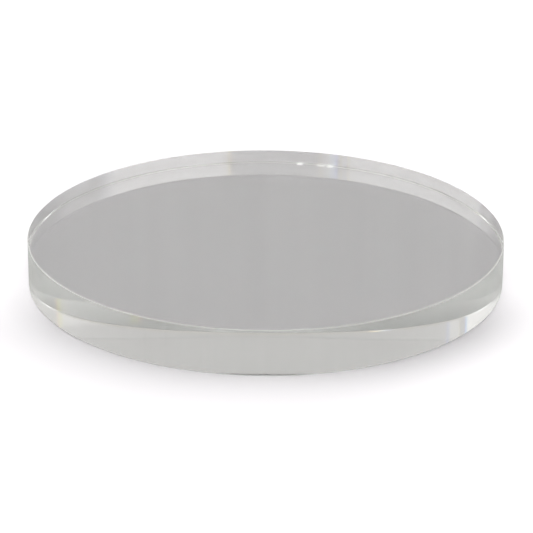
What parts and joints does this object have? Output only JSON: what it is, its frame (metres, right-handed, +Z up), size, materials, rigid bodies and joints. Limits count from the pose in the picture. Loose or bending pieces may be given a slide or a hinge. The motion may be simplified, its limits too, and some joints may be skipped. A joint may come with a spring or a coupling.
{
  "type": "circle template",
  "caption": "Thick clear acrylic disc with a straight polished rim and finely chamfered edges, lying flat: a plain round template or display block.",
  "frame": {"origin": "centre of the bottom face, on the surface that the disc lies on", "axes": "+Z up along the disc's axis; the disc is round, so +X and +Y are any two horizontal directions, with -Y towards the viewer"},
  "size_m": [0.254, 0.254, 0.025],
  "materials": {
    "clear_acrylic": "polished"
  },
  "bodies": {
    "root": {"template_disc": "clear_acrylic"}
  },
  "joints": []
}
